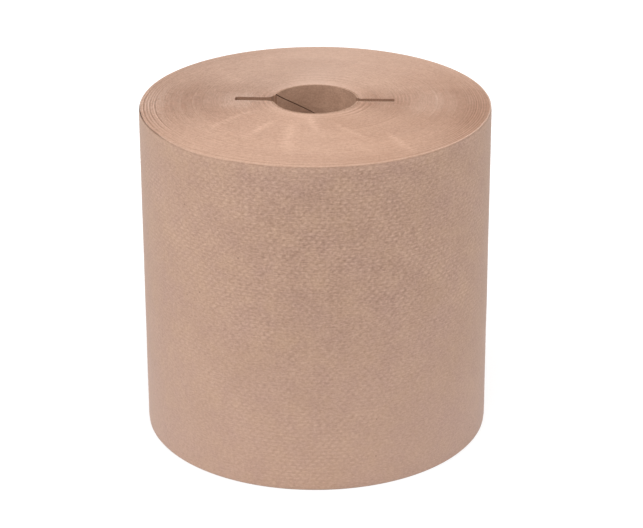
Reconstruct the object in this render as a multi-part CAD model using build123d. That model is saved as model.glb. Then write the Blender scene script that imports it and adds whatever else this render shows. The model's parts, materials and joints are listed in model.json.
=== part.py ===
from build123d import *
import math
import os

# A roll of paper towel wound on a notched paperboard core, standing on its end.
# Millimetres, +Z up along the axis of the roll, origin at the middle of the bottom face.

# Roll
ROLL_DIAMETER = 203.0
WEB_WIDTH = 200.0
TAIL_STEP = 0.3  # the loose end of the web stands this far above the turn below it
TAIL_ANGLE = 90.0  # degrees from +X: the loose end lies at the back

# Ends of the roll: the top sinks from the core to a soft rim, the bottom is level
LEVEL_RADIUS = 51.0  # the top is level up to here
TOP_SINK = 2.4
TOP_EDGE_WIDTH = 1.2
TOP_EDGE_DROP = 0.6
TOP_EDGE_FACETS = 3
BOTTOM_EDGE_WIDTH = 1.0
BOTTOM_EDGE_RISE = 1.0
LIP_WIDTH = 0.1  # the least width of the outermost turn's own edge

# Bundles of turns that show as rings on the ends, every other one a little lower
TOP_BUNDLES = 15
BOTTOM_BUNDLES = 5
BUNDLE_STEP = 0.35
CROWDING = 0.75  # 0 spaces the bundles evenly, towards 1 they crowd at the core and at the rim

# Core
CORE_BORE = 47.5
CORE_WALL = 1.5
SEAM_PITCH = 90.0
SEAM_GAP = 0.6
SEAM_DEPTH = 0.5
SEAM_ANGLE = 163.0  # degrees from +X where the seam meets the top edge
SEAM_RUNOUT = 5.0

# Notch across the top, through the core and into the turns around it
NOTCH_LENGTH = 91.0
NOTCH_WIDTH = 4.8
NOTCH_DEPTH = 16.0
MOUTH_RADIUS = 2.0  # the corners where the notch meets the bore are rounded by this

ROLL_RADIUS = ROLL_DIAMETER / 2
BORE_RADIUS = CORE_BORE / 2
CORE_RADIUS = BORE_RADIUS + CORE_WALL


def spiral(radii):
    """Semicircles, tangent to each other, that take the radius from each value to the next in half a turn."""
    arcs = []
    for half_turn, (start, end) in enumerate(zip(radii, radii[1:])):
        side = 1 if half_turn % 2 == 0 else -1
        middle = (side * (start - end) / 2, side * (start + end) / 2)
        arcs.append(ThreePointArc((side * start, 0), middle, (-side * end, 0)))
    return arcs


def wound_section():
    """Section across the roll: the outermost turn ends in a step, where the web's loose end lies."""
    arcs = spiral([ROLL_RADIUS - TAIL_STEP, ROLL_RADIUS - TAIL_STEP / 2, ROLL_RADIUS])
    loose_end = Line(arcs[-1] @ 1, arcs[0] @ 0)
    return Rot(0, 0, TAIL_ANGLE) * make_face(arcs + [loose_end])


def top_height(radius):
    """Height of the top face: level in the middle, then sinking faster and faster towards the rim."""
    past_level = max(0.0, radius - LEVEL_RADIUS) / (ROLL_RADIUS - LEVEL_RADIUS)
    return WEB_WIDTH - TOP_SINK * past_level**2


def bundle_rings(count, last):
    """Inner and outer radius of each bundle and how far it stands back, from the core to the last radius."""
    radii = []
    for index in range(count + 1):
        share = index / count
        crowded = share - CROWDING * math.sin(2 * math.pi * share) / (2 * math.pi)
        radii.append(CORE_RADIUS + (last - CORE_RADIUS) * crowded)
    return [(radii[index], radii[index + 1], BUNDLE_STEP * (index % 2)) for index in range(count)]


def turned_form():
    """The roll as turned about its axis: rings of turns on both ends, a bore and softened edges."""
    lip = ROLL_RADIUS - TAIL_STEP - LIP_WIDTH
    outside = ROLL_RADIUS + LIP_WIDTH
    top = []
    for inner, outer, back in bundle_rings(TOP_BUNDLES, lip - TOP_EDGE_WIDTH):
        top += [(inner, top_height(inner) - back), (outer, top_height(outer) - back)]
    bottom = []
    for inner, outer, back in bundle_rings(BOTTOM_BUNDLES, lip - BOTTOM_EDGE_WIDTH):
        bottom += [(inner, back), (outer, back)]
    rim, rim_height = top[-1]
    for facet in range(1, TOP_EDGE_FACETS + 1):
        turn = math.pi / 2 * facet / TOP_EDGE_FACETS
        drop = TOP_EDGE_DROP * (1 - math.cos(turn))
        top.append((rim + TOP_EDGE_WIDTH * math.sin(turn), rim_height - drop))
    side = [(outside, rim_height - TOP_EDGE_DROP), (outside, BOTTOM_EDGE_RISE), (lip, BOTTOM_EDGE_RISE)]
    profile = make_face(Polyline(*top, *side, *reversed(bottom), close=True))
    return revolve(Plane.XZ * profile, Axis.Z)


def notch():
    """Cutter of the notch, which is open at the top and widens where it meets the bore."""
    outline = Circle(BORE_RADIUS) + Rectangle(NOTCH_LENGTH, NOTCH_WIDTH)
    corners = outline.vertices().filter_by(lambda vertex: abs(vertex.X) < CORE_RADIUS)
    outline = fillet(corners, MOUTH_RADIUS)
    return Pos(0, 0, WEB_WIDTH - NOTCH_DEPTH) * extrude(outline, 2 * NOTCH_DEPTH)


def towel_web():
    """The wound web, with rings of turns on both ends, a loose end at the back and its share of the notch."""
    wound = turned_form() & extrude(wound_section(), WEB_WIDTH)
    return wound - notch()


def seam():
    """Gap between the edges of the core's inner ply, which winds up the bore."""
    path = Helix(SEAM_PITCH, WEB_WIDTH + 2 * SEAM_RUNOUT, BORE_RADIUS)
    across = Plane(path @ 0, x_dir=(1, 0, 0), z_dir=path % 0)
    gap = sweep(across * Rectangle(2 * SEAM_DEPTH, SEAM_GAP), path, is_frenet=True)
    first_angle = SEAM_ANGLE - 360 * (WEB_WIDTH + SEAM_RUNOUT) / SEAM_PITCH
    return Pos(0, 0, -SEAM_RUNOUT) * Rot(0, 0, first_angle) * gap


def core_tube():
    """The paperboard tube: face to face with the innermost turn, and as long as the web is wide."""
    ring = Circle(CORE_RADIUS) - Circle(BORE_RADIUS)
    return extrude(ring, WEB_WIDTH) - seam() - notch()


os.makedirs("parts", exist_ok=True)
export_step(towel_web(), "parts/towel_web.step")
export_step(core_tube(), "parts/core_tube.step")
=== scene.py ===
import json
import math

import bpy
import numpy as np
from mathutils import Matrix, Vector

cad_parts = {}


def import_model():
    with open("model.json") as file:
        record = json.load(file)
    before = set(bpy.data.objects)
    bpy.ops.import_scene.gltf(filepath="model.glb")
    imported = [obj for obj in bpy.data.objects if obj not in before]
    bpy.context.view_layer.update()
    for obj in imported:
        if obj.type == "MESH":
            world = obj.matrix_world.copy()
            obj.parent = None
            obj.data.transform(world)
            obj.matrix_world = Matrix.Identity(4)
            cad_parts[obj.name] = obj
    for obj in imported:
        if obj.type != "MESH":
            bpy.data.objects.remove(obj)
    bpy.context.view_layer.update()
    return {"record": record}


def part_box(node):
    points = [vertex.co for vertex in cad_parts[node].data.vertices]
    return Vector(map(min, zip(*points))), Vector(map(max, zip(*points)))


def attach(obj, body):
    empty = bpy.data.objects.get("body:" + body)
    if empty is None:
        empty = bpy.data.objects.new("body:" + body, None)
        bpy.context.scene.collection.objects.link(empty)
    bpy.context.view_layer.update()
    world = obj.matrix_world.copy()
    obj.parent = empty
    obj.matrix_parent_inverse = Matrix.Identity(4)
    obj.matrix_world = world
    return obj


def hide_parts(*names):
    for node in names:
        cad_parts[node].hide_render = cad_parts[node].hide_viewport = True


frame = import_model()

# Sizes in metres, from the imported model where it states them
MM = 0.001
TURN = 2 * math.pi
_, WEB_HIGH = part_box("towel_web")
_, CORE_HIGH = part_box("core_tube")
MOUNTS = {mount["name"]: mount for mount in frame["record"]["mounts"]}
ROLL_RADIUS = WEB_HIGH[1]
WEB_WIDTH = WEB_HIGH[2]
CORE_RADIUS = CORE_HIGH[1]
BORE_RADIUS = MOUNTS["core_bore"]["dims"]["r_mm"] * MM
TAIL_ANGLE = math.pi / 2
TAIL_STEP = 0.3 * MM

# The camera stands this far round the roll from -Y, so an angle seen in the photograph is this much less.
# Places round the roll are such angles: the middle and the width of a bell, in degrees.
VIEW_TURN = math.radians(2.5)

# Notch: reach, half width and corner radius of its two arms, of which the left one is worn wider
LEFT_ARM = (46.0 * MM, 2.65 * MM, 7.0 * MM)
RIGHT_ARM = (45.5 * MM, 2.1 * MM, 2.0 * MM)
NOTCH_DEPTH = 16.0 * MM
CORNER_POINTS = 6

# Top of the roll: level round the core, sinking to a rim that sags in front on the left
LEVEL_RADIUS = 51.0 * MM
TOP_SINK = 2.4 * MM
RIM_WIDTH = 1.6 * MM
RIM_DROP = 0.6 * MM
RIM_INSET = 1.1 * MM
RIM_SAG = 0.9 * MM
RIM_SAG_AT = (229, 13)
RIM_SAG_REACH = 4 * MM

# Gaps between the outermost turn and the next, on the left
RIM_GAP = 0.5 * MM
RIM_GAPS_AT = [(191, 9), (207, 5)]
SHOULDER_GAP_SHARE = 0.4
SHOULDER_INSET = 0.15 * MM
SHOULDER_DROP = 0.35 * MM

# Wall under the outermost turn
WALL_PLAY = 0.05 * MM
WALL_LOW = 1.0 * MM
WALL_HIGH = WEB_WIDTH - 9 * MM

# Turns on the ends: ridges of single turns, and bundles of turns
TURNS_SEED = 4
TOP_RIDGES = 130
BOTTOM_RIDGES = 16
END_COLUMNS = 300
RIDGE_LOW = 0.36 * MM
RIDGE_HIGH = 0.50 * MM
BUNDLE_RELIEF = 0.08 * MM
BUNDLE_WAVES = 14
BUNDLE_LENGTHS = (1.6 * MM, 9 * MM)
BUNDLE_SPREAD = 9
SWING = 0.2

# Turns that stand clear of the next, as shallow grooves with painted shade and highlight: mm from the rim
# or the core, middle and width in degrees, strength
RIM_LINES = [
    (3.4, 330, 34, 0.6), (4.8, 336, 36, 0.8), (6.2, 340, 36, 1.0), (7.5, 342, 36, 0.9), (8.9, 345, 36, 1.0),
    (10.2, 347, 34, 0.8), (11.7, 350, 30, 0.6), (13.3, 352, 26, 0.4), (2.2, 312, 26, 0.7),
    (3.0, 184, 20, 0.8), (4.9, 186, 22, 0.7), (6.5, 188, 22, 0.7), (9.6, 190, 20, 1.0), (8.1, 176, 18, 0.5),
    (4.1, 60, 50, 0.4), (6.9, 110, 40, 0.4), (3.3, 150, 40, 0.4), (5.6, 250, 26, 0.4), (3.1, 262, 30, 0.5),
]
CORE_LINES = [
    (1.0, 318, 30, 0.7), (4.0, 320, 30, 0.9), (7.4, 322, 28, 0.7), (2.0, 185, 34, 0.5), (4.8, 180, 30, 0.5),
    (8.4, 85, 45, 0.4), (12.3, 75, 40, 0.3), (17.0, 90, 30, 0.3), (20.4, 2, 12, 0.4), (22.4, 1, 12, 0.5),
    (24.4, 0, 13, 0.5), (26.6, 0, 13, 0.5), (29.0, 359, 14, 0.4), (28.4, 315, 18, 0.4),
]
LINE_DEPTH = 0.1 * MM
RIM_LINE_WIDTH = 0.36 * MM
CORE_LINE_WIDTH = 0.65 * MM
LIGHT_EDGE_AWAY = 1.9

# Light streaks on the top, where turns have buckled: degrees and mm of radius at both ends, width, strength
STREAKS = [
    (207, 36, 219, 77, 1.6, 0.7),
    (236.5, 38, 237, 74, 1.7, 0.95),
    (252, 34, 260, 87, 3.0, 0.8),
    (264, 28, 272, 54, 1.8, 0.9),
    (284, 38, 297, 77, 1.4, 0.7),
    (305.5, 66, 304, 99, 1.7, 0.95),
    (284, 58, 291, 92, 5.0, 0.25),
    (258, 26, 261, 44, 5.0, 0.3),
]
STREAK_SEED = 21
STREAK_FLATTENS = 0.5
STREAK_FADE = 4

# How a streak wanders, swells and breaks up along the radius: how much, and two wavelengths in mm
STREAK_WANDER = 0.7
WANDER_LENGTHS = (2.9, 5.3)
STREAK_SWELL = 0.5
SWELL_LENGTHS = (2.3, 4.1)
STREAK_MEAN = 0.75
STREAK_BREAKS = 0.35
BREAK_LENGTHS = (1.9, 3.4)
RIPPLE_PHASES = (0, 6.28)

# Fainter streaks at the back: degrees, mm of radius, mm long, degrees of lean, mm wide, strength
FAINT_STREAKS = 16
FAINT_DEGREES = (-20, 190)
FAINT_START = (30, 60)
FAINT_LENGTH = (15, 40)
FAINT_LEAN = (-8, 8)
FAINT_WIDTH = 2.6
FAINT_STRENGTH = (0.1, 0.35)

# Tone of the top: finer at the back, and painted light that makes it warmer in front on the right and paler
# at the back
CALM_MOST = 0.45
CALM_AT = (90, 55)
PAINTED_WARMEST = math.radians(290)

# Outermost turn, with its emboss: ovals in cells, with some samples to a cell each way
SKIN_SEED = 9
PAPER = 0.15 * MM
EMBOSS_HEIGHT = 0.32 * MM
EMBOSS_COLUMNS = 140
EMBOSS_ROWS = 43
EMBOSS_STRENGTH = (0.65, 1.0)
CELL_SAMPLES = 4
TURN_TOP = WEB_WIDTH - TOP_SINK - RIM_DROP + 0.1 * MM
TURN_BOTTOM = 0.8 * MM
EDGE_UNEVEN = 0.12 * MM
SLACK = 0.03 * MM

# How firmly the emboss is pressed: everywhere, and more in patches (degrees, width, share of height, width)
PRESS_BASE = 0.22
PRESS_PATCHES = [(0.68, 278, 52, 0.8, 0.45), (0.5, 100, 45, 0.45, 0.5)]
PRESS_LEAST = 0.06
PRESS_DRIFT = 0.18
PATCH_DRIFT = 0.45

# The emboss rises to its full height within 1/80 of the web's width and 1/200 of a turn from the loose end
EDGE_RISE = 80
END_RISE = 200

# Tone of the outermost turn: painted shade where the emboss is pressed firmly, at the turn's top edge and
# under the loose end, grain crisper where pressed, and painted bounce light low on the sides
PRESSED_PAINTED_SHADE = 0.87
EDGE_SHADE = 0.6
EDGE_SHADE_WIDTH = 0.003
END_SHADE_WIDTH = 0.0006
CRISP_BASE = 0.42
CRISP_GAIN = 1.1
CRISP_INSIDE = 0.7
BOUNCE_NOT_AT = (265, 45)
BOUNCE_POWER = 3

# Smooth random fields: waves round the axis, wavelengths along it and how many waves are added up
SWING_WAVES = ((1, 5), (20 * MM, 80 * MM), 6)
EDGE_WAVES = ((2, 9), (1, 2), 7)
PRESS_WAVES = ((1, 6), (60 * MM, 240 * MM), 8)
PATCH_WAVES = ((6, 18), (30 * MM, 80 * MM), 10)
SLACK_WAVES = ((2, 9), (50 * MM, 160 * MM), 9)

# Core
SEAM_PITCH = 90.0 * MM
SEAM_ANGLE = math.radians(163)
SEAM_WIDTH = 0.6 * MM
SEAM_DEPTH = 0.5 * MM
SEAM_SIDES = (0.7, 1.0, 1.6)
# Painted shade beside the seam on one side, fading over this many radians
PAINTED_SHADE_ANGLE = 2.2
CORE_PLAY = 0.03 * MM
CORE_COLUMNS = 160
CORE_ROWS = 72
END_THICKNESS = 0.5 * MM
END_FACING = 0.9

# Paper and board
KRAFT_LIGHT = (0.592, 0.392, 0.297, 1.0)
KRAFT_DARK = (0.432, 0.273, 0.199, 1.0)
KRAFT_FIBRE = (0.66, 0.475, 0.375, 1.0)
KRAFT_OCHRE = (0.51, 0.33, 0.10, 1.0)
KRAFT_BOUNCE_LIGHT = (0.86, 0.70, 0.74, 1.0)
KRAFT_SPECK = (0.18, 0.10, 0.065, 1.0)
SPECK_CELLS = 130.0
EDGE_LIGHT = (0.610, 0.405, 0.304, 1.0)
EDGE_DARK = (0.458, 0.287, 0.205, 1.0)
EDGE_PAINTED_WARMTH = (0.56, 0.306, 0.182, 1.0)
HALO_WIDTH = 10 * MM
# Walls of the notch, in painted shade
CUT_LIGHTER_PAINTED_SHADE = (0.45, 0.265, 0.180, 1.0)
CUT_DARKER_PAINTED_SHADE = (0.30, 0.165, 0.105, 1.0)
BOARD_LIGHT = (0.56, 0.350, 0.246, 1.0)
BOARD_MIDDLE = (0.41, 0.245, 0.167, 1.0)
BOARD_DARK = (0.26, 0.145, 0.09, 1.0)
# Painted shade of the core's seam groove
SEAM_PAINTED_SHADE = (0.06, 0.032, 0.02, 1.0)

# Grain of the crepe, the fibres and the winding: features a metre round and up, and how it is turned
CREPE_GRAIN = (420.0, 1500.0, 1.0)
FIBRE_GRAIN = (260.0, 2400.0, 1.0)
FIBRE_TURNS = (0.35, -0.6, 1.3)
WINDING_GRAIN = (60.0, 900.0, 1.0)
WINDING_TURN = -0.65

# Grain of the cut turns: features a turn, and features a metre of radius
TURNS_GRAIN = (12.0, 1500.0)

# Floor: its glow to the camera grows from near the roll to far from it
FLOOR_HALF = 4.0
FLOOR_HEIGHT = -0.05 * MM
FLOOR_PAINT = (0.8, 0.8, 0.8, 1.0)
FLOOR_TINT = (0.25, 0.25, 0.25, 1.0)
GLOW_NEAR = 0.8
GLOW_GAIN = 0.2
GLOW_FROM = 0.1
GLOW_TO = 0.6

# Light: from all round, and round soft lamps (name, degrees from +X, degrees up, watts)
WHITE = (1.0, 1.0, 1.0, 1.0)
AMBIENT = 0.28
LAMP_DISTANCE = 6.0
LAMP_SIZE = 3.0
LAMPS = [
    ("front_high", -90, 55, 153),
    ("left_front", -140, 30, 98),
    ("left", -178, 30, 52),
    ("right", -2, 30, 96),
    ("overhead", -90, 84, 42),
    ("back_low", 90, 12, 96),
]

# Camera, fitted to the outline, rim and hole in the 643 by 528 photograph
PHOTO_WIDTH = 643
SENSOR = 36.0
FOCAL_PIXELS = 2464.6
CAMERA_DISTANCE = 14.343 * 101.5 * MM
CAMERA_ELEVATION = math.radians(23.526)
CAMERA_PAN = math.radians(0.1322)
CAMERA_TILT = math.radians(-0.1248)
CAMERA_ROLL = math.radians(-0.2391)
CLIP_END = 20.0


def new_object(name, mesh):
    """Object of a mesh, a lamp or a camera, put into the scene."""
    piece = bpy.data.objects.new(name, mesh)
    bpy.context.scene.collection.objects.link(piece)
    return piece


def store(mesh, name, values):
    """Keeps a value on each vertex, which the materials read by its name."""
    mesh.attributes.new(name, "FLOAT", "POINT").data.foreach_set("value", values.astype(np.float32))


def section_mesh(name, points, wraps):
    """Mesh of points[row][column]: the rows run round the section, the columns round the roll's axis."""
    rows, columns = points.shape[:2]
    row, column = np.meshgrid(np.arange(rows), np.arange(columns if wraps else columns - 1), indexing="ij")
    next_row = (row + 1) % rows
    next_column = (column + 1) % columns
    corners = [(row, column), (row, next_column), (next_row, next_column), (next_row, column)]
    faces = np.stack([r * columns + c for r, c in corners], -1).reshape(-1, 4).tolist()
    if not wraps:
        faces.append([r * columns for r in range(rows)])
        faces.append([r * columns + columns - 1 for r in reversed(range(rows))])
    mesh = bpy.data.meshes.new(name)
    mesh.from_pydata(points.reshape(-1, 3).tolist(), [], faces)
    mesh.update()
    return mesh


def on_roll(radius, angle, height):
    """Points from cylinder coordinates, which may be arrays of any matching shapes."""
    radius, angle, height = np.broadcast_arrays(radius, angle, height)
    return np.stack([radius * np.cos(angle), radius * np.sin(angle), height], -1)


def waves(random, angle, along, turns, lengths, count):
    """Smooth random field, mostly from -1 to 1, of whole waves round the axis and wavelengths along it."""
    field = 0.0
    for _ in range(count):
        around = random.integers(turns[0], turns[1] + 1)
        length = random.uniform(*lengths)
        phase = random.uniform(0, TURN)
        lean = random.choice([-1, 1])
        field = field + np.sin(around * angle + lean * TURN * along / length + phase)
    return field / math.sqrt(count)


def bell(value, centre, width):
    """1 at the centre, falling to 0 on both sides."""
    return np.exp(-(((value - centre) / width) ** 2))


def wrapped(angle):
    """The same angle, from minus half a turn to half a turn."""
    return np.mod(angle + math.pi, TURN) - math.pi


def bell_round(angle, degrees, width):
    """Bell about an angle of the photograph, both in degrees."""
    return bell(wrapped(angle - VIEW_TURN - math.radians(degrees)), 0, math.radians(width))


def rise(share, rate):
    """0 at both ends of a share from 0 to 1, rising to 1 at a rate."""
    return (np.minimum(share, 1 - share) * rate).clip(0, 1)


def spiral_radius(angle):
    """Radius of the roll's outside, which grows by one step in the turn that ends at the loose end."""
    past = np.mod(angle - TAIL_ANGLE, TURN) / TURN
    return ROLL_RADIUS - TAIL_STEP * (1 - past)


def top_height(radius):
    """Height of the top, which sinks faster and faster towards the rim."""
    past_level = np.maximum(0.0, radius - LEVEL_RADIUS) / (ROLL_RADIUS - LEVEL_RADIUS)
    return WEB_WIDTH - TOP_SINK * past_level**2


def rim_drop(radius):
    """How far the rounded rim lies below the top."""
    past = np.clip((radius - ROLL_RADIUS + RIM_WIDTH) / RIM_WIDTH, 0, 1)
    return RIM_DROP * (1 - np.sqrt(1 - past**2))


def rim_sag(angle):
    """How far the outermost turns sag where the rim looks soft."""
    return RIM_SAG * bell_round(angle, *RIM_SAG_AT)


def arm_outline(reach, half, corner):
    """One side of an arm of the notch, from its end to the bore, which its corner meets on an arc."""
    middle_y = half + corner
    middle_x = math.sqrt((BORE_RADIUS + corner) ** 2 - middle_y**2)
    meet = math.pi + math.atan2(middle_y, middle_x)
    points = [(reach, half)]
    for turn in np.linspace(1.5 * math.pi, meet, CORNER_POINTS):
        points.append((middle_x + corner * math.cos(turn), middle_y + corner * math.sin(turn)))
    return points


def notch_cutter():
    """Prism of the notch, which reaches out of the top."""
    left = [(-x, y) for x, y in arm_outline(*LEFT_ARM)]
    upper = arm_outline(*RIGHT_ARM) + left[::-1]
    outline = upper + [(x, -y) for x, y in reversed(upper)]
    count = len(outline)
    heights = (WEB_WIDTH - NOTCH_DEPTH, WEB_WIDTH + NOTCH_DEPTH)
    corners = [(x, y, z) for z in heights for x, y in outline]
    faces = [tuple(reversed(range(count))), tuple(range(count, 2 * count))]
    faces += [(i, (i + 1) % count, count + (i + 1) % count, count + i) for i in range(count)]
    mesh = bpy.data.meshes.new("notch_cutter")
    mesh.from_pydata(corners, [], faces)
    return new_object("notch_cutter", mesh)


def cut_notch(piece, cutter):
    """Cuts the notch into a piece, whose walls there get the cutter's material."""
    cut = piece.modifiers.new("notch", "BOOLEAN")
    cut.operation = "DIFFERENCE"
    cut.solver = "EXACT"
    cut.material_mode = "TRANSFER"
    cut.object = cutter
    graph = bpy.context.evaluated_depsgraph_get()
    mesh = bpy.data.meshes.new_from_object(piece.evaluated_get(graph))
    piece.modifiers.clear()
    piece.data = mesh


def clear_turns():
    """Turns that stand clear of the next: radius, width, middle and width in degrees, strength."""
    lines = [(ROLL_RADIUS - away * MM, RIM_LINE_WIDTH, *line) for away, *line in RIM_LINES]
    return lines + [(CORE_RADIUS + away * MM, CORE_LINE_WIDTH, *line) for away, *line in CORE_LINES]


def ripple(random, radius, *lengths):
    """Sum of waves along the radius, from about -1 to 1, of two lengths in mm."""
    total = 0
    for length in lengths:
        total = total + np.sin(TURN * radius / (length * MM) + random.uniform(*RIPPLE_PHASES))
    return total / 2


def faint_streaks(random):
    """Streaks at the back, like those in front but fainter."""
    strokes = []
    for _ in range(FAINT_STREAKS):
        degrees = random.uniform(*FAINT_DEGREES)
        inner = random.uniform(*FAINT_START)
        outer = inner + random.uniform(*FAINT_LENGTH)
        last = degrees + random.uniform(*FAINT_LEAN)
        strokes.append((degrees, inner, last, outer, FAINT_WIDTH, random.uniform(*FAINT_STRENGTH)))
    return strokes


def streaks_at(radius, angle):
    """How strongly a feathered streak passes a place of the top, from 0 to 1."""
    random = np.random.default_rng(STREAK_SEED)
    total = 0.0
    for first, inner, last, outer, width, strength in STREAKS + faint_streaks(random):
        share = (radius / MM - inner) / (outer - inner)
        centre = VIEW_TURN + np.radians(first + (last - first) * share)
        away = wrapped(angle - centre) * radius
        away = away + STREAK_WANDER * width * MM * ripple(random, radius, *WANDER_LENGTHS)
        swollen = width * MM * (1 + STREAK_SWELL * ripple(random, radius, *SWELL_LENGTHS))
        broken = STREAK_MEAN + STREAK_BREAKS * ripple(random, radius, *BREAK_LENGTHS)
        fade = rise(share, STREAK_FADE) * broken
        total = total + strength * fade * bell(away, 0, swollen)
    return total.clip(0, 1)


def lines_at(radius, angle):
    """Tone of the lines: painted shade of a turn under 0, and above 0 a painted highlight on the edge of
    the turn outside it.
    """
    total = 0.0
    for line, wide, degrees, width, strength in clear_turns():
        tone = bell(radius, line + LIGHT_EDGE_AWAY * wide, wide) - bell(radius, line, wide)
        total = total + strength * tone * bell_round(angle, degrees, width)
    return total


def turn_depths(random, radii, angle):
    """How far each row of turn edges stands back: single ridges, and bundles of turns."""
    count = len(radii)
    ridge = random.uniform(RIDGE_LOW, RIDGE_HIGH, count) * (np.arange(count) % 2)
    bundle = np.zeros(count)
    for _ in range(BUNDLE_WAVES):
        length = random.uniform(*BUNDLE_LENGTHS)
        bundle += np.sin(TURN * radii / length + random.uniform(0, TURN))
    bundle = BUNDLE_RELIEF * (0.5 + bundle / BUNDLE_SPREAD).clip(0, 1)
    swing = 1 - SWING + SWING * waves(random, angle, radii[:, None], *SWING_WAVES).clip(-1, 1)
    return (ridge + bundle)[:, None] * swing


def clear_lines(radii, angle):
    """Depth of the lines where one turn stands clear of the next, near the rim and the core."""
    depth = np.zeros((len(radii), angle.shape[1]))
    for radius, _, degrees, width, strength in clear_turns():
        valley = 1 + 2 * int(np.abs(radii[1::2] - radius).argmin())
        depth[valley] += strength * LINE_DEPTH * bell_round(angle[0], degrees, width)
    return depth


def wound_turns():
    """The turns inside the outermost one: ridges of paper edges on both ends."""
    random = np.random.default_rng(TURNS_SEED)
    angle = np.linspace(0, TURN, END_COLUMNS, endpoint=False)[None, :]
    wall = spiral_radius(angle) - EMBOSS_HEIGHT - PAPER - WALL_PLAY
    gap = RIM_GAP * sum(bell_round(angle, *place) for place in RIM_GAPS_AT)
    rim = ROLL_RADIUS - RIM_INSET

    radii = np.linspace(CORE_RADIUS, rim, 2 * TOP_RIDGES + 1)
    sag = rim_sag(angle) * bell(radii[:, None], ROLL_RADIUS, RIM_SAG_REACH)
    flat = 1 - STREAK_FLATTENS * streaks_at(radii[:, None], angle)
    depth = turn_depths(random, radii, angle) * flat
    depth += clear_lines(radii, angle) + rim_drop(radii)[:, None] + sag
    top = on_roll(radii[:, None], angle, top_height(radii)[:, None] - depth)
    edge = top_height(rim) - rim_drop(rim) - rim_sag(angle)
    shoulder = [
        on_roll(wall - gap, angle, edge - SHOULDER_DROP),
        on_roll(wall - SHOULDER_GAP_SHARE * gap - SHOULDER_INSET, angle, edge),
    ]
    outside = [on_roll(wall, angle, WALL_LOW), on_roll(wall, angle, WALL_HIGH)]
    radii = np.linspace(CORE_RADIUS, rim, 2 * BOTTOM_RIDGES + 1)
    bottom = on_roll(radii[:, None], angle, turn_depths(random, radii, angle))
    points = np.concatenate([bottom, *outside, *shoulder, top[::-1]])
    return new_object("wound_turns", section_mesh("wound_turns", points, True))


def emboss(random, columns, rows):
    """Heights from 0 to 1 of staggered rows of small lying ovals."""
    strength = random.uniform(*EMBOSS_STRENGTH, (2 * EMBOSS_ROWS + 1, EMBOSS_COLUMNS + 1))
    cell = np.arange(columns)[None, :] / CELL_SAMPLES
    half_row = np.arange(rows)[:, None] / (CELL_SAMPLES / 2)
    nearest_row = np.round(half_row).astype(int)
    stagger = 0.5 * (nearest_row % 2)
    nearest_cell = np.round(cell - stagger).astype(int)
    across = np.cos(math.pi * (cell - stagger - nearest_cell))
    along = np.cos(math.pi * (half_row - nearest_row))
    return across * along * strength[nearest_row, nearest_cell % EMBOSS_COLUMNS]


def pressed_at(angle, up):
    """How firmly the emboss is pressed on the whole, from 0 to 1."""
    pressed = PRESS_BASE
    for more, degrees, width, middle, tall in PRESS_PATCHES:
        pressed = pressed + more * (bell_round(angle, degrees, width) * bell(up, middle, tall))
    return pressed


def outer_turn():
    """The outermost turn of paper, embossed, from under its own loose end round to that end."""
    random = np.random.default_rng(SKIN_SEED)
    columns = CELL_SAMPLES * EMBOSS_COLUMNS + 1
    rows = CELL_SAMPLES * EMBOSS_ROWS + 1
    share = np.linspace(0, 1, columns)[None, :]
    up = np.linspace(0, 1, rows)[:, None]
    angle = TAIL_ANGLE + TURN * share
    top = TURN_TOP + EDGE_UNEVEN * waves(random, angle, 0 * up, *EDGE_WAVES).clip(-1, 1) - rim_sag(angle)
    height = TURN_BOTTOM + (top - TURN_BOTTOM) * up

    drift = PRESS_DRIFT * waves(random, angle, height, *PRESS_WAVES)
    patches = PATCH_DRIFT * waves(random, angle, height, *PATCH_WAVES)
    pressed = pressed_at(angle, up)
    press = ((pressed + drift) * (1 + patches)).clip(PRESS_LEAST, 1)
    margin = rise(up, EDGE_RISE) * rise(share, END_RISE)
    relief = emboss(random, columns, rows) * press * margin
    slack = SLACK * (1 + waves(random, angle, height, *SLACK_WAVES).clip(-1, 1)) * margin

    outside = ROLL_RADIUS - TAIL_STEP * (1 - share)
    inside = outside - EMBOSS_HEIGHT - PAPER
    ground = EMBOSS_HEIGHT * (1 - (1 - press) * margin)
    face = on_roll(outside - ground + EMBOSS_HEIGHT * relief - slack, angle, height)
    points = [face, on_roll(inside, angle, height[-1:]), on_roll(inside, angle, height[:1])]
    mesh = section_mesh("outer_turn", np.concatenate(points), False)

    # Painted shade and highlight: ovals of the emboss lighter, its hollows darker, darker where pressed
    # firmly, along the top edge and under the loose end, and the inside as dark as the edge
    edges = bell(up, 1, EDGE_SHADE_WIDTH) + bell(share, 0, END_SHADE_WIDTH)
    shaded = relief - PRESSED_PAINTED_SHADE * pressed * margin - EDGE_SHADE * edges
    crisp = CRISP_BASE + CRISP_GAIN * pressed
    # Painted bounce light: paler and pinker towards the bottom, except in front
    painted_bounce = (1 - up) ** BOUNCE_POWER * (1 - bell_round(angle, *BOUNCE_NOT_AT))
    fields = [("relief", shaded, -EDGE_SHADE), ("crisp", crisp, CRISP_INSIDE), ("painted_bounce", painted_bounce, 0.0)]
    for name, values, within in fields:
        store(mesh, name, np.concatenate([values.reshape(-1), np.full(2 * columns, within)]))
    return new_object("outer_turn", mesh)


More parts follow.
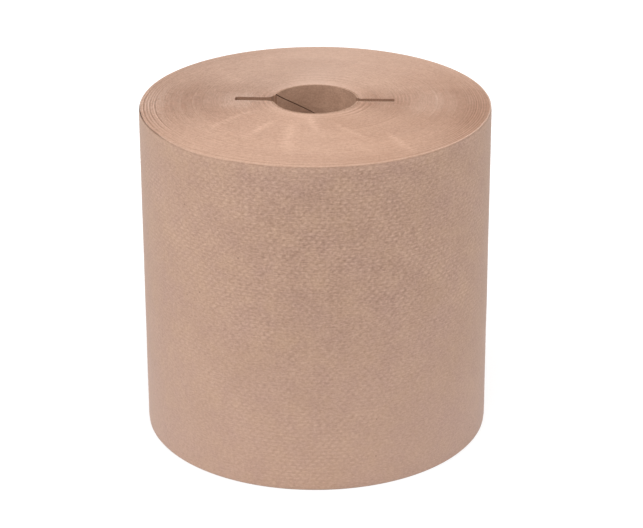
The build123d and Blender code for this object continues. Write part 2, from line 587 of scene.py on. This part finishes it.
def core_tube():
    """The paperboard tube. Its columns wind with the seam, which is a groove between two of them."""
    half = SEAM_WIDTH / 2 / math.sin(math.atan2(SEAM_PITCH, TURN * BORE_RADIUS))
    beside = [half * side for side in SEAM_SIDES]
    offsets = np.array([-x for x in reversed(beside)] + beside) / BORE_RADIUS
    rest = np.linspace(offsets[-1], TURN + offsets[0], CORE_COLUMNS)[1:-1]
    column = np.concatenate([offsets, rest])
    groove = np.zeros(len(column))
    groove[len(beside) - 1 : len(beside) + 1] = SEAM_DEPTH
    height = np.linspace(0, WEB_WIDTH, CORE_ROWS)[:, None]
    angle = column[None, :] + SEAM_ANGLE + TURN * (height - WEB_WIDTH) / SEAM_PITCH
    outer = on_roll(CORE_RADIUS - CORE_PLAY, angle, height)
    inner = on_roll(BORE_RADIUS + groove[None, :], angle, height)[::-1]
    mesh = section_mesh("core_wound", np.concatenate([outer, inner]), True)
    # Painted shade beside the seam, fading away from it on one side
    painted_shade = np.where(column > 0, (1 - column / PAINTED_SHADE_ANGLE).clip(0, 1), 0)
    store(mesh, "seam", np.tile(groove / SEAM_DEPTH, 2 * CORE_ROWS))
    store(mesh, "painted_shade_beside_seam", np.tile(painted_shade, 2 * CORE_ROWS))
    return new_object("core_wound", mesh)


def mark_top(piece):
    """Stores on each vertex of the top the streak and line that pass it, how calm it is, and the warmth of
    its painted light.
    """
    mesh = piece.data
    place = np.zeros(3 * len(mesh.vertices))
    mesh.vertices.foreach_get("co", place)
    x, y, z = place.reshape(-1, 3).T
    radius = np.hypot(x, y)
    angle = np.arctan2(y, x)
    fields = {
        "streak": streaks_at(radius, angle),
        "line": lines_at(radius, angle),
        "calm": CALM_MOST * bell_round(angle, *CALM_AT),
        "painted_warmth": np.cos(angle - VIEW_TURN - PAINTED_WARMEST),
    }
    for name, values in fields.items():
        store(mesh, name, values * (z > WEB_WIDTH / 2))


def paint_ends(piece, material):
    """Gives the flat faces at both ends another material."""
    piece.data.materials.append(material)
    last = len(piece.data.materials) - 1
    for face in piece.data.polygons:
        at_end = abs(face.center.z - WEB_WIDTH / 2) > WEB_WIDTH / 2 - END_THICKNESS
        if at_end and abs(face.normal.z) > END_FACING:
            face.material_index = last


def shade(piece, sharp_degrees):
    """Smooth shading, with edges that are sharp from an angle on."""
    piece.data.shade_smooth()
    piece.data.set_sharp_from_angle(angle=math.radians(sharp_degrees))


class Nodes:
    """A node tree, filled one node at a time."""

    def __init__(self, owner):
        owner.use_nodes = True
        self.owner = owner
        self.tree = owner.node_tree
        self.tree.nodes.clear()

    def add(self, kind, inputs=None, **settings):
        """New node, with sockets linked or set by the name or number of the input."""
        node = self.tree.nodes.new(kind)
        for key, value in settings.items():
            setattr(node, key, value)
        for key, value in (inputs or {}).items():
            if isinstance(value, bpy.types.NodeSocket):
                self.tree.links.new(value, node.inputs[key])
            else:
                node.inputs[key].default_value = value
        return node

    def math(self, operation, *values):
        return self.add("ShaderNodeMath", dict(enumerate(values)), operation=operation).outputs[0]

    def vector(self, operation, inputs):
        return self.add("ShaderNodeVectorMath", inputs, operation=operation).outputs

    def scaled_sum(self, *terms):
        """Sum of (value, factor) pairs."""
        total = None
        for value, factor in terms:
            part = self.math("MULTIPLY", value, factor)
            total = part if total is None else self.math("ADD", total, part)
        return total

    def contrast(self, value, factor):
        """A value from 0 to 1 with its distance from the middle multiplied."""
        away = self.math("SUBTRACT", value, 0.5)
        return self.math("ADD", self.math("MULTIPLY", away, factor), 0.5)

    def noise(self, vector, scale, detail=2.0, roughness=0.5):
        inputs = {"Vector": vector, "Scale": scale, "Detail": detail, "Roughness": roughness}
        return self.add("ShaderNodeTexNoise", inputs).outputs["Fac"]

    def noise_along(self, value, scale, detail):
        """Noise that changes with one value only."""
        inputs = {"W": value, "Scale": scale, "Detail": detail}
        return self.add("ShaderNodeTexNoise", inputs, noise_dimensions="1D").outputs["Fac"]

    def stretch(self, vector, scale, turn=0.0):
        inputs = {"Vector": vector, "Scale": scale, "Rotation": (0.0, 0.0, turn)}
        return self.add("ShaderNodeMapping", inputs).outputs[0]

    def ramp(self, value, low, high):
        inputs = {"Value": value, "From Min": low, "From Max": high}
        return self.add("ShaderNodeMapRange", inputs, clamp=True).outputs[0]

    def mix(self, share, first, second):
        """Colour between two, or a little past them where the share is under 0 or over 1."""
        inputs = {0: share, 6: first, 7: second}
        return self.add("ShaderNodeMix", inputs, data_type="RGBA", clamp_factor=False).outputs[2]

    def tint(self, colour, share, most, other):
        """Colour taken towards another one by a share, of which 1 counts for the most."""
        return self.mix(self.math("MULTIPLY", share, most), colour, other)

    def stored(self, name):
        return self.add("ShaderNodeAttribute", attribute_name=name).outputs["Fac"]

    def bump(self, height, distance, strength, normal=None):
        inputs = {"Height": height, "Distance": distance, "Strength": strength}
        if normal is not None:
            inputs["Normal"] = normal
        return self.add("ShaderNodeBump", inputs).outputs[0]

    def surface(self, inputs):
        """The material, with a surface of these inputs."""
        shader = self.add("ShaderNodeBsdfPrincipled", inputs)
        self.add("ShaderNodeOutputMaterial", {"Surface": shader.outputs[0]})
        return self.owner

    def seen_directly(self):
        """1 for what the camera sees, also in gloss and through glass, and 0 for other light."""
        path = self.add("ShaderNodeLightPath").outputs
        seen = self.math("MAXIMUM", path["Is Camera Ray"], path["Is Glossy Ray"])
        return self.math("MAXIMUM", seen, path["Is Transmission Ray"])

    def cylinder(self):
        """Object position, the same unrolled (way round from the front, height), and the radius."""
        place = self.add("ShaderNodeTexCoord").outputs["Object"]
        x, y, z = self.add("ShaderNodeSeparateXYZ", {0: place}).outputs
        angle = self.math("ARCTAN2", x, self.math("MULTIPLY", y, -1.0))
        around = self.math("MULTIPLY", angle, ROLL_RADIUS)
        squares = self.math("ADD", self.math("MULTIPLY", x, x), self.math("MULTIPLY", y, y))
        flat = self.add("ShaderNodeCombineXYZ", {0: around, 1: z}).outputs[0]
        return place, flat, self.math("SQRT", squares)

    def wound(self, around, across):
        """Coordinates for noise along the turns: features a turn, and features a metre of radius."""
        place = self.add("ShaderNodeTexCoord").outputs["Object"]
        level = self.vector("MULTIPLY", {0: place, 1: (1.0, 1.0, 0.0)})[0]
        radius = self.vector("LENGTH", {0: level})["Value"]
        outward = self.vector("NORMALIZE", {0: level})[0]
        ring = self.vector("SCALE", {0: outward, "Scale": around})[0]
        out = self.add("ShaderNodeCombineXYZ", {2: self.math("MULTIPLY", radius, across)}).outputs[0]
        return self.vector("ADD", {0: ring, 1: out})[0]


def towel_fibres(nodes, flat):
    """Fibres that lie every way, from 0 to 1."""
    fibres = None
    for turn in FIBRE_TURNS:
        strand = nodes.noise(nodes.stretch(flat, FIBRE_GRAIN, turn), 1.0, detail=1.0)
        strand = nodes.ramp(strand, low=0.60, high=0.74)
        fibres = strand if fibres is None else nodes.math("MAXIMUM", fibres, strand)
    return fibres


def towel_specks(nodes, place):
    """A few dark specks, from 0 to 1: the middles of some cells."""
    cells = nodes.add("ShaderNodeTexVoronoi", {"Vector": place, "Scale": SPECK_CELLS})
    pick = nodes.add("ShaderNodeSeparateColor", {0: cells.outputs["Color"]}).outputs[0]
    middle = nodes.ramp(cells.outputs["Distance"], low=0.075, high=0.035)
    return nodes.math("MULTIPLY", middle, nodes.ramp(pick, low=0.92, high=0.93))


def kraft_towel():
    """Uncoated kraft towel: cloudy pulp, fibres, specks and crepe, with painted shade and highlight of the
    emboss, painted bounce light low on the sides and a slowly changing hue.
    """
    nodes = Nodes(bpy.data.materials.new("kraft_towel"))
    place, flat, _ = nodes.cylinder()
    cloud = nodes.noise(place, 80.0, detail=4.0, roughness=0.6)
    grain = nodes.noise(place, 750.0, detail=4.0, roughness=0.7)
    crepe = nodes.noise(nodes.stretch(flat, CREPE_GRAIN), 1.0, roughness=0.6)
    tone = nodes.scaled_sum((cloud, 0.14), (grain, 0.46), (crepe, 0.40))
    tone = nodes.contrast(nodes.ramp(tone, low=0.39, high=0.61), nodes.stored("crisp"))
    # Painted shade and highlight of the emboss, and painted shade at the turn's top edge and under the
    # loose end
    tone = nodes.math("ADD", tone, nodes.math("MULTIPLY", nodes.stored("relief"), 0.7))
    hue = nodes.math("SUBTRACT", nodes.noise(place, 40.0, detail=5.0, roughness=0.8), 0.5)
    colour = nodes.mix(tone, KRAFT_DARK, KRAFT_LIGHT)
    colour = nodes.tint(colour, hue, 0.4, KRAFT_OCHRE)
    # Painted bounce light, paler and pinker low on the sides
    colour = nodes.tint(colour, nodes.stored("painted_bounce"), 0.1, KRAFT_BOUNCE_LIGHT)
    colour = nodes.tint(colour, towel_fibres(nodes, flat), 0.22, KRAFT_FIBRE)
    colour = nodes.tint(colour, towel_specks(nodes, place), 0.75, KRAFT_SPECK)
    crepe_normal = nodes.bump(crepe, distance=0.10 * MM, strength=0.6)
    return nodes.surface(
        {
            "Base Color": colour,
            "Roughness": 0.9,
            "Specular IOR Level": 0.3,
            "Sheen Weight": 0.15,
            "Sheen Roughness": 0.4,
            "Normal": nodes.bump(grain, distance=0.10 * MM, strength=0.6, normal=crepe_normal),
        }
    )


def kraft_edges(name, dark, light, roughness, specular):
    """Cut edges of paper: rings of slightly different tone, with fine grain, lines of painted shade and
    highlight along shallow grooves, buckled streaks, and painted light that is warmer in front.
    """
    nodes = Nodes(bpy.data.materials.new(name))
    place, _, radius = nodes.cylinder()
    rings = nodes.noise_along(radius, 1400.0, detail=3.0)
    arcs = nodes.noise(nodes.wound(*TURNS_GRAIN), 1.0, roughness=0.6)
    cloud = nodes.noise(place, 60.0, detail=3.0)
    grain = nodes.noise(place, 1000.0, detail=3.0, roughness=0.65)
    mottle = nodes.noise(place, 480.0, roughness=0.6)
    tone = nodes.scaled_sum((rings, 0.18), (arcs, 0.22), (cloud, 0.04), (grain, 0.36), (mottle, 0.20))
    crisp = nodes.math("SUBTRACT", 1.0, nodes.stored("calm"))
    tone = nodes.contrast(nodes.ramp(tone, low=0.41, high=0.59), crisp)
    streak = nodes.math("MULTIPLY", nodes.stored("streak"), nodes.ramp(arcs, low=0.15, high=0.55))
    halo = nodes.ramp(radius, low=CORE_RADIUS + HALO_WIDTH, high=CORE_RADIUS)
    # The lines are painted shade and painted highlight where turns stand clear
    marks = nodes.scaled_sum((streak, 0.85), (halo, 0.4), (nodes.stored("line"), 0.9))
    colour = nodes.mix(nodes.math("ADD", tone, marks), dark, light)
    return nodes.surface(
        {
            # Painted light: warmer in front on the right, paler at the back
            "Base Color": nodes.tint(colour, nodes.stored("painted_warmth"), 0.2, EDGE_PAINTED_WARMTH),
            "Roughness": roughness,
            "Specular IOR Level": specular,
            "Normal": nodes.bump(grain, distance=0.08 * MM, strength=0.5),
        }
    )


def kraft_cut_painted_shade():
    """Walls of the notch: layers of cut paper, darkened all over by painted shade of the narrow slot, with
    painted shade between the layers.
    """
    nodes = Nodes(bpy.data.materials.new("kraft_cut_painted_shade"))
    place, _, radius = nodes.cylinder()
    layers = nodes.noise_along(radius, 2200.0, detail=2.0)
    grain = nodes.noise(place, 900.0, detail=3.0, roughness=0.6)
    tone = nodes.scaled_sum((layers, 0.6), (grain, 0.4))
    return nodes.surface(
        {
            # Painted shade: both colours are darker than the cut paper's own
            "Base Color": nodes.mix(nodes.ramp(tone, low=0.3, high=0.7), CUT_DARKER_PAINTED_SHADE, CUT_LIGHTER_PAINTED_SHADE),
            "Roughness": 0.95,
            "Specular IOR Level": 0.1,
            "Normal": nodes.bump(tone, distance=0.1 * MM, strength=0.5),
        }
    )


def core_board():
    """Spirally wound paperboard: greyer than the towel, with faint streaks along the winding, painted shade
    beside the seam and painted shade in its groove.
    """
    nodes = Nodes(bpy.data.materials.new("core_board"))
    place, flat, _ = nodes.cylinder()
    cloud = nodes.noise(place, 120.0, detail=4.0, roughness=0.6)
    streak = nodes.noise(nodes.stretch(flat, WINDING_GRAIN, WINDING_TURN), 1.0)
    grain = nodes.noise(place, 1000.0, detail=3.0, roughness=0.6)
    tone = nodes.scaled_sum((cloud, 0.35), (streak, 0.2), (grain, 0.45))
    colour = nodes.mix(nodes.ramp(tone, low=0.39, high=0.61), BOARD_MIDDLE, BOARD_LIGHT)
    # Painted shade beside the seam
    colour = nodes.tint(colour, nodes.stored("painted_shade_beside_seam"), 0.2, BOARD_DARK)
    # Painted shade in the seam's groove, added to the groove's own shade
    colour = nodes.tint(colour, nodes.stored("seam"), 0.7, SEAM_PAINTED_SHADE)
    return nodes.surface(
        {
            "Base Color": colour,
            "Roughness": 0.9,
            "Specular IOR Level": 0.25,
            "Normal": nodes.bump(tone, distance=0.1 * MM, strength=0.4),
        }
    )


def floor():
    """Pale floor: white to the camera, with the roll's soft shadow on it."""
    ways = [(-1, -1), (1, -1), (1, 1), (-1, 1)]
    corners = [(x * FLOOR_HALF, y * FLOOR_HALF, FLOOR_HEIGHT) for x, y in ways]
    mesh = bpy.data.meshes.new("floor")
    mesh.from_pydata(corners, [], [(0, 1, 2, 3)])
    nodes = Nodes(bpy.data.materials.new("floor_white"))
    paint = nodes.add("ShaderNodeBsdfDiffuse", {"Color": FLOOR_PAINT})
    tint = nodes.add("ShaderNodeBsdfDiffuse", {"Color": FLOOR_TINT})
    _, _, away = nodes.cylinder()
    strength = nodes.scaled_sum((nodes.ramp(away, GLOW_FROM, GLOW_TO), GLOW_GAIN), (1.0, GLOW_NEAR))
    glow = nodes.add("ShaderNodeEmission", {"Strength": strength})
    white = nodes.add("ShaderNodeAddShader", {0: tint.outputs[0], 1: glow.outputs[0]})
    shaders = {0: nodes.seen_directly(), 1: paint.outputs[0], 2: white.outputs[0]}
    both = nodes.add("ShaderNodeMixShader", shaders)
    nodes.add("ShaderNodeOutputMaterial", {"Surface": both.outputs[0]})
    mesh.materials.append(nodes.owner)
    new_object("floor", mesh)


def world():
    """Soft light from all round, with a white background."""
    nodes = Nodes(bpy.data.worlds.new("studio"))
    strength = nodes.math("ADD", nodes.math("MULTIPLY", nodes.seen_directly(), 1.0 - AMBIENT), AMBIENT)
    light = nodes.add("ShaderNodeBackground", {"Color": WHITE, "Strength": strength})
    nodes.add("ShaderNodeOutputWorld", {"Surface": light.outputs[0]})
    bpy.context.scene.world = nodes.owner


def soft_lamp(name, azimuth, elevation, watts):
    """Round soft lamp that looks at the middle of the roll, with angles in degrees."""
    lamp = bpy.data.lights.new(name, "AREA")
    lamp.shape = "DISK"
    lamp.size = LAMP_SIZE
    lamp.energy = watts
    azimuth = math.radians(azimuth)
    elevation = math.radians(elevation)
    level = math.cos(elevation)
    towards = Vector((level * math.cos(azimuth), level * math.sin(azimuth), math.sin(elevation)))
    piece = new_object(name, lamp)
    piece.location = Vector((0, 0, WEB_WIDTH / 2)) + LAMP_DISTANCE * towards
    piece.rotation_euler = towards.to_track_quat("Z", "Y").to_euler()


def turned(first, second, angle):
    """Two axes turned in their plane, the first one away from the second."""
    c = math.cos(angle)
    s = math.sin(angle)
    return c * first - s * second, s * first + c * second


def camera():
    """Camera that looks at the middle of the roll, then panned, tilted and rolled by the fitted angles."""
    made = bpy.data.cameras.new("camera")
    made.sensor_fit = "HORIZONTAL"
    made.sensor_width = SENSOR
    made.lens = FOCAL_PIXELS / PHOTO_WIDTH * SENSOR
    made.clip_end = CLIP_END
    level = math.cos(CAMERA_ELEVATION)
    down = -math.sin(CAMERA_ELEVATION)
    right = Vector((math.cos(VIEW_TURN), math.sin(VIEW_TURN), 0))
    forward = Vector((-level * math.sin(VIEW_TURN), level * math.cos(VIEW_TURN), down))
    up = right.cross(forward)
    place = Vector((0, 0, WEB_WIDTH / 2)) - CAMERA_DISTANCE * forward
    right, forward = turned(right, forward, CAMERA_PAN)
    up, forward = turned(up, forward, CAMERA_TILT)
    up, right = turned(up, right, CAMERA_ROLL)
    piece = new_object("camera", made)
    piece.matrix_world = Matrix.Translation(place) @ Matrix((right, up, -forward)).transposed().to_4x4()
    bpy.context.scene.camera = piece


def dress(piece, node):
    """Lets a piece stand for a solid, which it hides, and hangs the piece from the root body."""
    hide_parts(node)
    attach(piece, "root")


cutter = notch_cutter()
cutter.data.materials.append(kraft_cut_painted_shade())

turns = wound_turns()
edges = kraft_edges("kraft_edges", EDGE_DARK, EDGE_LIGHT, roughness=0.55, specular=0.4)
turns.data.materials.append(edges)
cut_notch(turns, cutter)
shade(turns, sharp_degrees=14)
mark_top(turns)
dress(turns, "towel_web")

skin = outer_turn()
skin.data.materials.append(kraft_towel())
shade(skin, sharp_degrees=40)
dress(skin, "towel_web")

core = core_tube()
core.data.materials.append(core_board())
cut_notch(core, cutter)
paint_ends(core, kraft_edges("board_edge", BOARD_DARK, EDGE_DARK, roughness=0.95, specular=0.1))
shade(core, sharp_degrees=30)
dress(core, "core_tube")
bpy.data.objects.remove(cutter)

floor()
world()
for lamp in LAMPS:
    soft_lamp(*lamp)
camera()
bpy.context.scene.view_settings.view_transform = "Standard"
